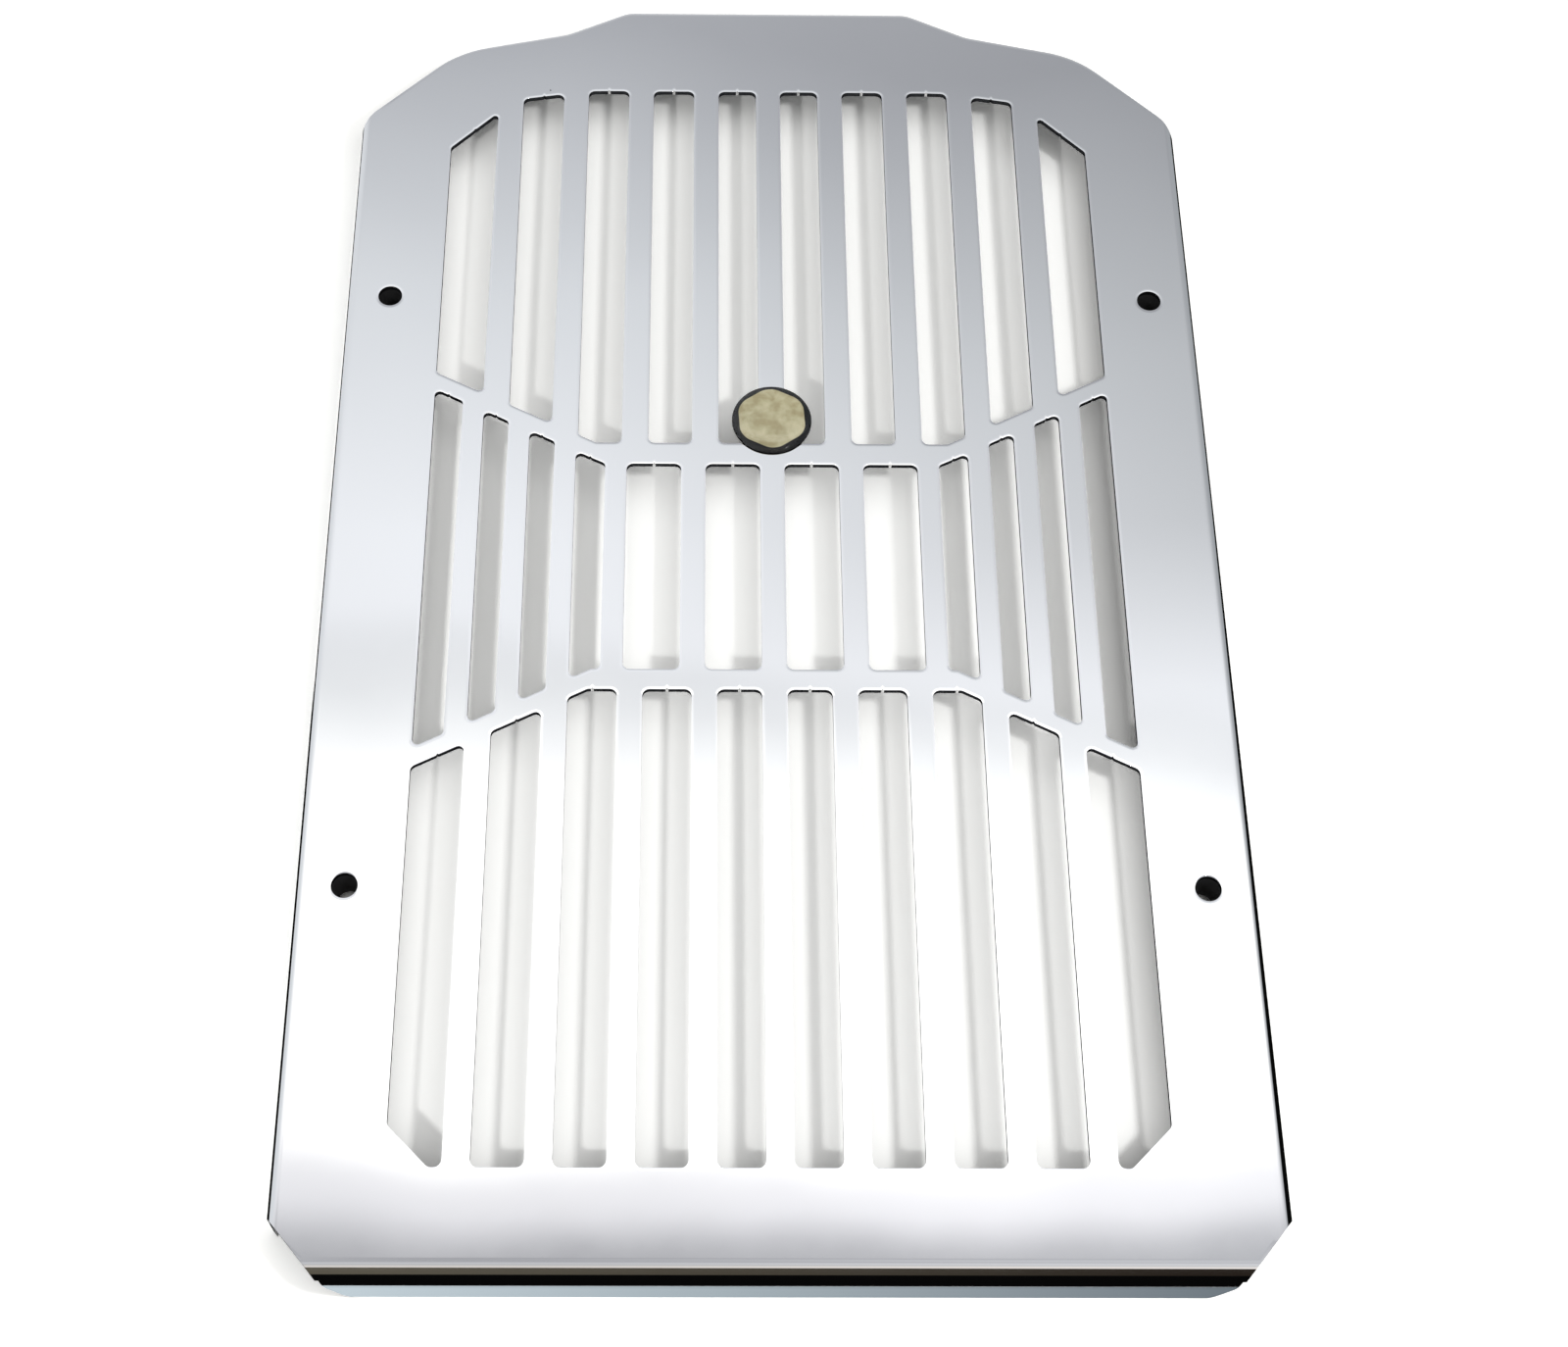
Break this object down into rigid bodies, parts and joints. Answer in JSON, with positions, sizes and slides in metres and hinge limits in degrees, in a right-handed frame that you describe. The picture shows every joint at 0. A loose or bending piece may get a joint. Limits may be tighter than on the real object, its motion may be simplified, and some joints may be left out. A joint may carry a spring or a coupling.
{
  "type": "motorcycle radiator guard",
  "caption": "Polished sheet guard with folded side and foot flanges, long laser-cut air windows between slanted rails, a domed round badge and rubber bushes behind its bolt holes.",
  "frame": {"origin": "middle of the guard's bounding box, in the plane of the flanges' feet", "axes": "+X across the guard to the right as seen from the front, +Y up the guard towards its shaped top edge, +Z out of its polished face"},
  "size_m": [0.237, 0.379, 0.016],
  "materials": {
    "polished_steel": "mirror polished stainless sheet",
    "badge_print": "printed foil, champagne panel inside a black ring",
    "clear_resin": "clear poured resin",
    "black_rubber": "matt black rubber"
  },
  "bodies": {
    "root": {"guard_plate": "polished_steel", "badge_label": "badge_print", "badge_dome": "clear_resin", "bush_upper_left": "black_rubber", "bush_upper_right": "black_rubber", "bush_lower_left": "black_rubber", "bush_lower_right": "black_rubber"}
  },
  "joints": []
}
